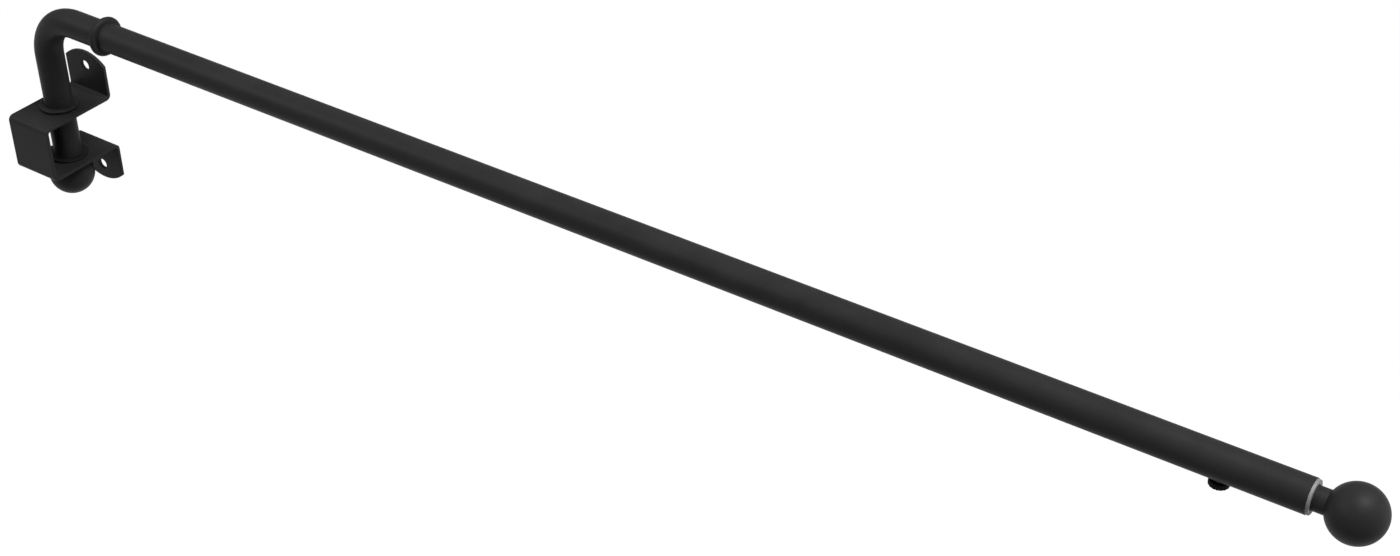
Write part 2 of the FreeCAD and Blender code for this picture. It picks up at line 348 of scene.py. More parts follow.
SATIN_BLACK = Finish(
    "satin_black", (0.024, 0.024, 0.0243), colour_spread=0.12, roughness=0.5, roughness_spread=0.03,
    grain_per_metre=900.0, grain_height=0.035 * MM, specular_level=0.095,
)
BLACK_NYLON = Finish(
    "black_nylon", (0.012, 0.012, 0.012), colour_spread=0.15, roughness=0.55, roughness_spread=0.04,
    grain_per_metre=2600.0, grain_height=0.01 * MM, specular_level=0.14,
)
GREY_NYLON = Finish(
    "grey_nylon", (0.24, 0.24, 0.24), colour_spread=0.06, roughness=0.5, roughness_spread=0.05,
    grain_per_metre=2200.0, grain_height=0.012 * MM,
)
BLACK_PLASTIC = Finish(
    "black_plastic", (0.004, 0.004, 0.004), colour_spread=0.15, roughness=0.5, roughness_spread=0.04,
    grain_per_metre=3000.0, grain_height=0.008 * MM, specular_level=0.06,
)
PLAIN_STEEL = Finish(
    "plain_steel", (0.6, 0.6, 0.61), colour_spread=0.05, roughness=0.3, roughness_spread=0.06,
    grain_per_metre=3500.0, grain_height=0.004 * MM, metallic=1.0,
)
BLACK_BRASS = Finish(
    "blackened_brass", (0.035, 0.032, 0.027), colour_spread=0.1, roughness=0.45, roughness_spread=0.05,
    grain_per_metre=3500.0, grain_height=0.004 * MM, metallic=1.0,
)


@dataclass(frozen=True)
class Corner:
    """One corner of a turned outline: its distance from the axis, its height and its rounding."""

    radius: float
    height: float
    rounding: float = 0.0


def rounded_outline(corners: Sequence[Corner], closed: bool) -> Outline:
    """Rounds the corners of a turned piece's outline.

    Args:
        corners: The corners in order.
        closed: Whether the last corner joins the first, as on a ring with a bore.

    Returns:
        The outline's points as (radius, height).
    """
    points: Outline = []
    count = len(corners)
    for index, corner in enumerate(corners):
        here = Vector((corner.radius, corner.height))
        inner = closed or 0 < index < count - 1
        if corner.rounding == 0.0 or not inner:
            points.append(tuple(here))
            continue
        before = corners[index - 1]
        after = corners[(index + 1) % count]
        back = (Vector((before.radius, before.height)) - here).normalized()
        ahead = (Vector((after.radius, after.height)) - here).normalized()
        half = back.angle(ahead) / 2
        centre = here + (back + ahead).normalized() * (corner.rounding / math.sin(half))
        start = here + back * (corner.rounding / math.tan(half)) - centre
        end = here + ahead * (corner.rounding / math.tan(half)) - centre
        for step in range(ARC_STEPS + 1):
            spoke = start.slerp(end, step / ARC_STEPS).normalized()
            points.append(tuple(centre + spoke * corner.rounding))
    return points


def turned(outline: Outline, closed: bool, placement: Matrix, level: Level) -> bpy.types.Mesh:
    """Turns an outline round its axis into a closed mesh.

    Args:
        outline: Points as (radius, height). An open one starts and ends on the axis.
        closed: Whether the outline is a loop that stays off the axis.
        placement: Where the piece goes.
        level: How many sides it has.

    Returns:
        The turned mesh.
    """
    sides = level.value
    shell = bmesh.new()
    rings = []
    for radius, height in outline:
        corners = 1 if radius < WELD_DISTANCE else sides
        ring = []
        for side in range(corners):
            angle = math.tau * side / sides
            point = Vector((radius * math.cos(angle), radius * math.sin(angle), height))
            ring.append(shell.verts.new(placement @ point))
        rings.append(ring)
    followers = rings[1:] + rings[:1] if closed else rings[1:]
    for lower, upper in zip(rings, followers):
        for side in range(sides):
            quad = [lower[side % len(lower)], lower[(side + 1) % len(lower)]]
            quad += [upper[(side + 1) % len(upper)], upper[side % len(upper)]]
            distinct = list(dict.fromkeys(quad))
            if len(distinct) > 2:
                shell.faces.new(distinct)
    mesh = bpy.data.meshes.new("turned")
    shell.to_mesh(mesh)
    shell.free()
    close_up(mesh)
    return mesh


def ring_corners(outer: float, bore: float, length: float, rounding: float) -> list[Corner]:
    """The corners of a plain ring or tube that stands on zero, with its outer edges softened."""
    wall = [Corner(outer, 0.0, rounding), Corner(outer, length, rounding)]
    return [Corner(bore, 0.0), *wall, Corner(bore, length)]


def middle(node: str) -> Vector:
    """The middle of a CAD node's box."""
    low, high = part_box(node)
    return (low + high) / 2


@dataclass(frozen=True)
class Piece:
    """One piece: its name, the CAD node that it stands for, the body it moves with and its finish."""

    name: str
    node: str
    body: str
    finish: Finish
    axis: Axis = Axis.UP

    def length(self) -> float:
        """The CAD node's length along the piece's axis."""
        low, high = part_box(self.node)
        return abs((high - low).dot(Vector(self.axis.value)))

    def foot(self) -> Vector:
        """The centre of the CAD node's first end."""
        return middle(self.node) - Vector(self.axis.value) * (self.length() / 2)

    def placement(self) -> Matrix:
        """Where a mesh that is built along +Z from the origin goes."""
        return self.axis.placement(self.foot())

    def turn(self, corners: Sequence[Corner], closed: bool = True, level: Level = Level.TUBE) -> None:
        """Turns the piece's outline round its axis, from its foot, and shows it."""
        self.show(turned(rounded_outline(corners, closed), closed, self.placement(), level))

    def show(self, mesh: bpy.types.Mesh) -> None:
        """Shows a mesh in place of the CAD node, with even shading, and reports it.

        Args:
            mesh: The piece's mesh, in place in the frame.
        """
        close_up(mesh)
        mesh.materials.clear()
        mesh.materials.append(self.finish.material())
        mesh.shade_smooth()
        mesh.set_sharp_from_angle(angle=SHARP_ANGLE)
        shown = linked(self.name, mesh)
        weighting = shown.modifiers.new("even_shading", "WEIGHTED_NORMAL")
        weighting.keep_sharp = True
        weighting.weight = FACE_WEIGHT
        shown.data = plain_mesh(shown)
        shown.modifiers.clear()
        shown.data.name = self.name
        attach(shown, self.body)
        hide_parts(self.node)
        faces = len(shown.data.polygons)
        log.info("%s: %d faces, rides on %s, finish %s", self.name, faces, self.body, self.finish.slot)


def thread_recipe() -> Recipe:
    """Cuts a screw thread into a round bar that stands on the origin.

    Returns:
        The recipe, whose blank needs several rings to each turn of the thread.
    """
    sizes = ("Major Radius", "Thread Depth", "Pitch", "Bar Length", "Chamfer")
    recipe = Recipe("screw_thread", dict.fromkeys(sizes, "Float"))
    given = recipe.given
    place = recipe.node("GeometryNodeInputPosition").outputs[0]
    split = recipe.node("ShaderNodeSeparateXYZ", {0: place}).outputs
    angle = recipe.math("ARCTAN2", split["Y"], split["X"])
    turn_share = recipe.math("DIVIDE", angle, math.tau)
    climb = recipe.math("DIVIDE", split["Z"], given["Pitch"])
    phase = recipe.math("FLOORED_MODULO", recipe.math("SUBTRACT", climb, turn_share), 1.0)
    slope = recipe.math("ABSOLUTE", recipe.math("MULTIPLY_ADD", phase, 2.0, -1.0))
    groove = recipe.math("MULTIPLY_ADD", slope, THREAD_STEEPNESS, -THREAD_CREST, clamp=True)
    depth = recipe.math("MULTIPLY", groove, given["Thread Depth"])
    cut = recipe.math("SUBTRACT", given["Major Radius"], depth)
    to_head = recipe.math("SUBTRACT", given["Bar Length"], split["Z"])
    to_end = recipe.math("MINIMUM", split["Z"], to_head)
    end_radius = recipe.math("SUBTRACT", given["Major Radius"], given["Chamfer"])
    chamfered = recipe.math("ADD", end_radius, to_end)
    target = recipe.math("MINIMUM", cut, chamfered)
    flat = recipe.node("ShaderNodeCombineXYZ", {0: split["X"], 1: split["Y"]}).outputs[0]
    share = recipe.math("DIVIDE", target, given["Major Radius"])
    moved = recipe.vector("SCALE", flat, share)
    placed = recipe.vector("ADD", moved, recipe.node("ShaderNodeCombineXYZ", {2: split["Z"]}).outputs[0])
    shaped = recipe.node("GeometryNodeSetPosition", {"Geometry": given["Blank"], "Position": placed})
    recipe.finish(shaped.outputs[0])
    return recipe


def flute_recipe() -> Recipe:
    """Cuts round grip flutes into the rim of a turned head that stands on the origin.

    Returns:
        The recipe.
    """
    sizes = ("Head Radius", "Flute Count", "Flute Radius", "Flute Depth", "Rim Fade")
    recipe = Recipe("grip_flutes", dict.fromkeys(sizes, "Float"))
    given = recipe.given
    place = recipe.node("GeometryNodeInputPosition").outputs[0]
    split = recipe.node("ShaderNodeSeparateXYZ", {0: place}).outputs
    angle = recipe.math("ARCTAN2", split["Y"], split["X"])
    steps = recipe.math("DIVIDE", recipe.math("MULTIPLY", angle, given["Flute Count"]), math.tau)
    nearest = recipe.math("SUBTRACT", steps, recipe.math("ROUND", steps))
    rim = recipe.math("MULTIPLY", given["Head Radius"], math.tau)
    aside = recipe.math("MULTIPLY", nearest, recipe.math("DIVIDE", rim, given["Flute Count"]))
    whole = recipe.math("MULTIPLY", given["Flute Radius"], given["Flute Radius"])
    squared = recipe.math("SUBTRACT", whole, recipe.math("MULTIPLY", aside, aside))
    reach = recipe.math("SQRT", recipe.math("MAXIMUM", squared, 0.0))
    lip = recipe.math("SUBTRACT", given["Flute Radius"], given["Flute Depth"])
    depth = recipe.math("MAXIMUM", recipe.math("SUBTRACT", reach, lip), 0.0)
    flat = recipe.node("ShaderNodeCombineXYZ", {0: split["X"], 1: split["Y"]}).outputs[0]
    away = recipe.node("ShaderNodeVectorMath", {0: flat}, operation="LENGTH").outputs["Value"]
    from_rim = recipe.math("SUBTRACT", given["Head Radius"], away)
    fade = recipe.math("SUBTRACT", 1.0, recipe.math("DIVIDE", from_rim, given["Rim Fade"]), clamp=True)
    inward = recipe.math("MULTIPLY", recipe.math("MULTIPLY", depth, fade), -1.0)
    shift = recipe.vector("SCALE", recipe.vector("NORMALIZE", flat), inward)
    shaped = recipe.node("GeometryNodeSetPosition", {"Geometry": given["Blank"], "Offset": shift})
    recipe.finish(shaped.outputs[0])
    return recipe


def bent_tube_recipe() -> Recipe:
    """Bends a round tube along straight runs joined by arcs, with its wall's thickness.

    Returns:
        The recipe, whose blank is the corners of the path joined by edges.
    """
    sizes = {
        "Bend Radius": "Float",
        "Bend Steps": "Int",
        "Sides": "Int",
        "Tube Radius": "Float",
        "Wall": "Float",
    }
    recipe = Recipe("bent_tube", sizes)
    given = recipe.given
    path = recipe.rounded_line(given["Blank"])
    bore_radius = recipe.math("SUBTRACT", given["Tube Radius"], given["Wall"])
    walls = []
    for radius in (given["Tube Radius"], bore_radius):
        ring = {"Resolution": given["Sides"], "Radius": radius}
        circle = recipe.node("GeometryNodeCurvePrimitiveCircle", ring).outputs[0]
        wall = recipe.node("GeometryNodeCurveToMesh", {"Curve": path, "Profile Curve": circle})
        walls.append(wall.outputs[0])
    # An edge with one face beside it lies at the tube's end. 2 and 3 are the whole number sockets.
    beside = recipe.node("GeometryNodeInputMeshEdgeNeighbors").outputs[0]
    pair = {2: beside, 3: 1}
    at_end = recipe.node("FunctionNodeCompare", pair, data_type="INT", operation="EQUAL").outputs[0]
    inwards = recipe.vector("SCALE", recipe.node("GeometryNodeInputNormal").outputs[0], -1.0)
    rim = {"Mesh": walls[0], "Selection": at_end, "Offset": inwards, "Offset Scale": given["Wall"]}
    rims = recipe.node("GeometryNodeExtrudeMesh", rim, mode="EDGES").outputs[0]
    lining = recipe.node("GeometryNodeFlipFaces", {"Mesh": walls[1]}).outputs[0]
    joined = recipe.node("GeometryNodeJoinGeometry")
    recipe.tree.links.new(rims, joined.inputs[0])
    recipe.tree.links.new(lining, joined.inputs[0])
    weld = {"Geometry": joined.outputs[0], "Distance": RIM_WELD}
    recipe.finish(recipe.node("GeometryNodeMergeByDistance", weld).outputs[0])
    return recipe


def fold_recipe() -> Recipe:
    """Folds a flat strap along a line of straight runs joined by bends.

    The blank lies with X across the strap, Y along it and Z through its thickness.

    Returns:
        The recipe.
    """
    sizes = {"Fold Line": "Object", "Bend Radius": "Float", "Bend Steps": "Int"}
    recipe = Recipe("strap_fold", sizes)
    given = recipe.given
    drawn = recipe.node("GeometryNodeObjectInfo", {"Object": given["Fold Line"]}).outputs["Geometry"]
    line = recipe.rounded_line(drawn)
    place = recipe.node("GeometryNodeInputPosition").outputs[0]
    split = recipe.node("ShaderNodeSeparateXYZ", {0: place}).outputs
    sample = recipe.node("GeometryNodeSampleCurve", {"Curves": line, "Length": split["Y"]}, mode="LENGTH")
    tangent = recipe.vector("NORMALIZE", sample.outputs["Tangent"])
    across = recipe.node("ShaderNodeCombineXYZ", {0: 1.0}).outputs[0]
    outward = recipe.vector("CROSS_PRODUCT", across, tangent)
    sideways = recipe.vector("SCALE", across, split["X"])
    through = recipe.vector("SCALE", outward, split["Z"])
    moved = recipe.vector("ADD", recipe.vector("ADD", sample.outputs["Position"], sideways), through)
    shaped = recipe.node("GeometryNodeSetPosition", {"Geometry": given["Blank"], "Position": moved})
    recipe.finish(shaped.outputs[0])
    return recipe


def path_object(name: str, corners: Iterable[Vector]) -> bpy.types.Object:
    """Joins corner points by edges, as the line that a recipe follows.

    Args:
        name: The object's name.
        corners: The points in order.

    Returns:
        The linked object, which isn't a piece and is removed after use.
    """
    points = list(corners)
    mesh = bpy.data.meshes.new(name)
    mesh.from_pydata(points, [(i, i + 1) for i in range(len(points) - 1)], [])
    return linked(name, mesh)


@dataclass(frozen=True)
class Thread:
    """A screw thread along a whole bar, with a chamfer at both ends."""

    radius: float
    pitch: float
    depth: float
    chamfer: float

    def show(self, bar: Piece) -> None:
        """Threads a bar and shows it.

        Args:
            bar: The bar, which stands on its foot.
        """
        length = bar.length()
        rings = round(length / self.pitch * RINGS_PER_PITCH)
        outline = [(0.0, 0.0)]
        outline += [(self.radius, length * step / rings) for step in range(rings + 1)]
        outline += [(0.0, length)]
        values = {
            "Major Radius": self.radius,
            "Thread Depth": self.depth,
            "Pitch": self.pitch,
            "Bar Length": length,
            "Chamfer": self.chamfer,
            "Material": bar.finish.material(),
        }
        mesh = thread_recipe().shape(turned(outline, False, Matrix.Identity(4), Level.SMALL), values)
        mesh.transform(bar.placement())
        bar.show(mesh)


class FlatSheet:
    """A flat sheet drawn as a grid of quads, punched with round holes and given rounded edges."""

    def __init__(self, across: Sequence[float], along: Sequence[float]) -> None:
        """Draws the grid.

        Args:
            across: The grid's X values.
            along: The grid's Y values.
        """
        self.across = list(across)
        self.along = list(along)
        self.shell = bmesh.new()
        self.grid = [[self.shell.verts.new((x, y, 0.0)) for x in self.across] for y in self.along]
        self.cells: dict[tuple[int, int], bmesh.types.BMFace] = {}
        for row in range(len(self.along) - 1):
            for column in range(len(self.across) - 1):
                near = self.grid[row][column:column + 2]
                far = self.grid[row + 1][column:column + 2]
                self.cells[row, column] = self.shell.faces.new([*near, *reversed(far)])

    def punch(self, centre_y: float, radius: float, reach: float) -> None:
        """Replaces the square of cells round a point of the middle line by rings round a hole.

        Args:
            centre_y: The hole's place along the sheet.
            radius: The hole's radius.
            reach: Half the side of the square, which lies on grid lines.
        """
        rows = (nearest(self.along, centre_y - reach), nearest(self.along, centre_y + reach))
        columns = (nearest(self.across, -reach), nearest(self.across, reach))
        for row in range(*rows):
            for column in range(*columns):
                self.shell.faces.remove(self.cells.pop((row, column)))
        border = [self.grid[rows[0]][c] for c in range(columns[0], columns[1])]
        border += [self.grid[r][columns[1]] for r in range(rows[0], rows[1])]
        border += [self.grid[rows[1]][c] for c in range(columns[1], columns[0], -1)]
        border += [self.grid[r][columns[0]] for r in range(rows[1], rows[0], -1)]
        loose = [v for v in self.shell.verts if not v.link_faces]
        outer = border
        for share in HOLE_RINGS:
            inner = []
            for index, corner in enumerate(border):
                angle = FIRST_CORNER_ANGLE + math.tau * index / len(border)
                rim = Vector((radius * math.cos(angle), centre_y + radius * math.sin(angle), 0.0))
                inner.append(self.shell.verts.new(corner.co.lerp(rim, share)))
            for index in range(len(border)):
                after = (index + 1) % len(border)
                self.shell.faces.new([outer[index], outer[after], inner[after], inner[index]])
            outer = inner
        bmesh.ops.delete(self.shell, geom=loose, context="VERTS")

    def thicken(self, thickness: float, rounding: float) -> bpy.types.Mesh:
        """Raises the sheet to its thickness, with a quarter round along every edge.

        Args:
            thickness: The sheet's thickness.
            rounding: The radius along its edges.

        Returns:
            The closed mesh, with its middle plane at zero.
        """
        outward = self.edge_directions()
        arc = [math.radians(90 * step / EDGE_STEPS) for step in range(EDGE_STEPS + 1)]
        half = thickness / 2
        rows = [(rounding * (1 - math.sin(a)), half - rounding * (1 - math.cos(a))) for a in arc]
        rows += [(inset, -height) for inset, height in reversed(rows)]
        solid = bmesh.new()
        columns = {}
        for vertex in self.shell.verts:
            away = outward.get(vertex, Vector())
            steps = rows if vertex in outward else [(0.0, half), (0.0, -half)]
            places = [vertex.co - away * inset + Vector((0.0, 0.0, height)) for inset, height in steps]
            columns[vertex] = [solid.verts.new(place) for place in places]
        for face in self.shell.faces:
            solid.faces.new([columns[v][0] for v in face.verts])
            solid.faces.new([columns[v][-1] for v in reversed(face.verts)])
        for edge in self.shell.edges:
            if not edge.is_boundary:
                continue
            first, second = (columns[v] for v in edge.verts)
            for step in range(len(rows) - 1):
                solid.faces.new([first[step], second[step], second[step + 1], first[step + 1]])
        mesh = bpy.data.meshes.new("thick_sheet")
        solid.to_mesh(mesh)
        solid.free()
        self.shell.free()
        close_up(mesh)
        return mesh

    def edge_directions(self) -> dict[bmesh.types.BMVert, Vector]:
        """The direction out of the sheet at each point of its edges, in the sheet's plane.

        Returns:
            For each edge point, a vector whose length keeps the rounding even at corners.
        """
        sums: dict[bmesh.types.BMVert, list[Vector]] = {}
        for edge in self.shell.edges:
            if not edge.is_boundary:
                continue
            middle_point = (edge.verts[0].co + edge.verts[1].co) / 2
            run = (edge.verts[1].co - edge.verts[0].co).normalized()
            away = Vector((run.y, -run.x, 0.0))
            inside = edge.link_faces[0].calc_center_median() - middle_point
            if away.dot(inside) > 0:
                away.negate()
            for vertex in edge.verts:
                sums.setdefault(vertex, []).append(away)
        directions = {}
        for vertex, pair in sums.items():
            mean = (pair[0] + pair[1]).normalized()
            directions[vertex] = mean / mean.dot(pair[0])
        return directions


def nearest(values: Sequence[float], target: float) -> int:
    """The place in a list of the value nearest to a target."""
    return min(range(len(values)), key=lambda index: abs(values[index] - target))


def lines_through(stops: Sequence[float], step: float) -> list[float]:
    """Grid lines that pass through every stop, evenly spaced between them.

    Args:
        stops: The places that need a line, in order.
        step: The widest spacing.

    Returns:
        The lines' places.
    """
    lines = [stops[0]]
    for low, high in zip(stops, stops[1:]):
        parts = max(1, math.ceil((high - low) / step - SPACING_SLACK))
        lines += [low + (high - low) * part / parts for part in range(1, parts + 1)]
    return lines


@dataclass
class WallBracket:
    """The bent strap on the wall with its two pivot bushes."""

    thickness: float = 2.0 * MM
    inner_bend_radius: float = 1.2 * MM
    box_height: float = 34.0 * MM
    tip_radius: float = 22.5 * MM
    screw_hole_spacing: float = 66.0 * MM
    screw_hole_radius: float = 3.0 * MM
    pivot_bore_radius: float = 9.13 * MM
    edge_rounding: float = 0.35 * MM
    bend_steps: int = 12
    grid_step: float = 1.0 * MM
    pivot_square: float = 12.0 * MM
    screw_square: float = 5.0 * MM
    tip_blend: float = 13.0 * MM
    bush_bore_radius: float = 8.08 * MM
    bush_sleeve_radius: float = 9.08 * MM
    bush_projection: float = 0.4 * MM
    top_flange_radius: float = 10.2 * MM
    bottom_flange_radius: float = 11.1 * MM
    flange_rounding: float = 0.4 * MM
    flange_share: float = 1 / 2.2

    def fold_corners(self) -> list[Vector]:
        """Draws the strap's middle line as it stands on the wall.

        Returns:
            The line's corners, from the upper tip to the lower tip.
        """
        low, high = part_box("wall_bracket")
        wall_y = high.y - self.thickness / 2
        front_y = low.y + self.thickness / 2
        plate_z = (self.box_height - self.thickness) / 2
        upper = [(wall_y, high.z), (wall_y, plate_z), (front_y, plate_z)]
        lower = [(y, -z) for y, z in reversed(upper)]
        return [Vector((0.0, y, z)) for y, z in upper + lower]

    def flat_places(self) -> tuple[list[float], float, float, float]:
        """Works out where the bends and holes lie on the flat blank.

        Returns:
            The bends' starts and ends in order, the blank's length, the first screw hole's place and
            the first pivot bore's place.
        """
        corners = self.fold_corners()
        bend_radius = self.inner_bend_radius + self.thickness / 2
        bend_length = bend_radius * math.pi / 2
        ends = []
        travelled = 0.0
        for index in range(1, len(corners) - 1):
            run = (corners[index] - corners[index - 1]).length
            run -= bend_radius if index == 1 else 2 * bend_radius
            travelled += run
            ends.append(travelled)
            travelled += bend_length
            ends.append(travelled)
        length = travelled + (corners[-1] - corners[-2]).length - bend_radius
        screw_place = corners[0].z - self.screw_hole_spacing / 2
        pivot_y = middle("post_collar").y
        pivot_place = ends[1] + (corners[1].y - bend_radius) - pivot_y
        return ends, length, screw_place, pivot_place

    def blank(self) -> bpy.types.Mesh:
        """Draws, punches and thickens the flat strap.

        Returns:
            The closed mesh, with its upper tip at Y zero.
        """
        low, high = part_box("wall_bracket")
        half_width = (high.x - low.x) / 2
        ends, length, screw_place, pivot_place = self.flat_places()
        tip_line = screw_place + self.tip_blend
        pivot_lines = [pivot_place - self.pivot_square, pivot_place + self.pivot_square]
        first_half = [0.0, screw_place - self.screw_square, screw_place + self.screw_square, tip_line]
        first_half += [*ends[:2], *pivot_lines, *ends[2:4]]
        stops = first_half + [length - stop for stop in reversed(first_half)]
        across_stops = [-half_width, -self.pivot_square, self.pivot_square, half_width]
        along = lines_through(stops, self.grid_step)
        bend_length = ends[1] - ends[0]
        for start in ends[::2]:
            bend_end = start + bend_length - WELD_DISTANCE
            along = [y for y in along if not start + WELD_DISTANCE < y < bend_end]
            along += [start + bend_length * step / self.bend_steps for step in range(1, self.bend_steps)]
        sheet = FlatSheet(lines_through(across_stops, self.grid_step), sorted(along))
        for place in (screw_place, length - screw_place):
            sheet.punch(place, self.screw_hole_radius, self.screw_square)
        for place in (pivot_place, length - pivot_place):
            sheet.punch(place, self.pivot_bore_radius, self.pivot_square)
        for vertex in sheet.shell.verts:
            x, y = vertex.co.xy
            vertex.co.y += self.tip_shift(x, y, screw_place) - self.tip_shift(x, length - y, screw_place)
        return sheet.thicken(self.thickness, self.edge_rounding)

    def tip_shift(self, x: float, from_tip: float, screw_place: float) -> float:
        """How far a point near a tip moves in, so that the straight end becomes an arc.

        Args:
            x: The point's place across the strap.
            from_tip: Its distance from the tip along the strap.
            screw_place: The screw hole's distance, whose rim stays where it is.

        Returns:
            The shift, which is zero past the blend.
        """
        blend = screw_place + self.tip_blend
        on_hole = math.hypot(x, from_tip - screw_place) < self.screw_hole_radius + WELD_DISTANCE
        if on_hole or from_tip >= blend:
            return 0.0
        drop = self.tip_radius - math.sqrt(self.tip_radius ** 2 - x ** 2)
        return drop * (1 - from_tip / blend)

    def strap(self) -> None:
        """Folds the blank and shows it."""
        strap = Piece("bent_strap", "wall_bracket", "bracket", SATIN_BLACK)
        line = path_object("fold_line", self.fold_corners())
        values = {
            "Fold Line": line,
            "Bend Radius": self.inner_bend_radius + self.thickness / 2,
            "Bend Steps": 2 * self.bend_steps,
            "Material": strap.finish.material(),
        }
        mesh = fold_recipe().shape(self.blank(), values)
        bpy.data.objects.remove(line)
        strap.show(mesh)

    def bush(self, node: str, flange_radius: float) -> None:
        """Turns one pivot bush and shows it.

        Args:
            node: The bush's CAD node.
            flange_radius: Its flange's radius.
        """
        bush = Piece(f"{node}_moulding", node, "bracket", BLACK_NYLON)
        length = bush.length()
        seat = self.thickness + self.bush_projection
        rounding = min(self.flange_rounding, (length - seat) * self.flange_share)
        corners = [
            Corner(self.bush_bore_radius, 0.0),
            Corner(self.bush_sleeve_radius, 0.0),
            Corner(self.bush_sleeve_radius, seat),
            Corner(flange_radius, seat),
            Corner(flange_radius, length, rounding),
            Corner(self.bush_bore_radius, length),
        ]
        bush.turn(corners)

    def build(self) -> None:
        """Builds the whole bracket."""
        self.strap()
        self.bush("top_bush", self.top_flange_radius)
        self.bush("bottom_bush", self.bottom_flange_radius)


@dataclass
class BallEnd:
    """A ball with its stud and the threaded plug that holds the stud in a tube."""

    ball_radius: float = 12.995 * MM
    hole_radius: float = 3.1 * MM
    hole_depth: float = 13.5 * MM
    thread: Thread = Thread(radius=3.0 * MM, pitch=1.0 * MM, depth=0.6 * MM, chamfer=0.6 * MM)
    plug_hole_depth: float = 12.5 * MM
    plug_rounding: float = 0.3 * MM

    def ball(self, piece: Piece, seat: Vector, seat_radius: float) -> None:
        """Turns the ball and shows it.

        Args:
            piece: The ball, whose axis points into the tube.
            seat: The centre of its flat seat.
            seat_radius: The seat's radius.
        """
        seat_height = math.sqrt(self.ball_radius ** 2 - seat_radius ** 2)
        seat_angle = math.asin(seat_height / self.ball_radius)
        steps = Level.BALL.value // 2
        outline = [(0.0, -self.ball_radius - seat_height)]
        for step in range(1, steps + 1):
            angle = -math.pi / 2 + (seat_angle + math.pi / 2) * step / steps
            height = self.ball_radius * math.sin(angle) - seat_height
            outline.append((self.ball_radius * math.cos(angle), height))
        outline += [(self.hole_radius, 0.0), (self.hole_radius, -self.hole_depth), (0.0, -self.hole_depth)]
        piece.show(turned(outline, False, piece.axis.placement(seat), Level.BALL))

    def plug(self, piece: Piece, radius: float) -> None:
        """Turns the plug and shows it.

        Args:
            piece: The plug, whose axis points into the tube.
            radius: The plug's radius.
        """
        length = piece.length()
        corners = [
            Corner(0.0, self.plug_hole_depth),
            Corner(self.hole_radius, self.plug_hole_depth),
            Corner(self.hole_radius, 0.0),
            Corner(radius, 0.0),
            Corner(radius, length, self.plug_rounding),
            Corner(0.0, length),
        ]
        piece.turn(corners, closed=False, level=Level.SMALL)


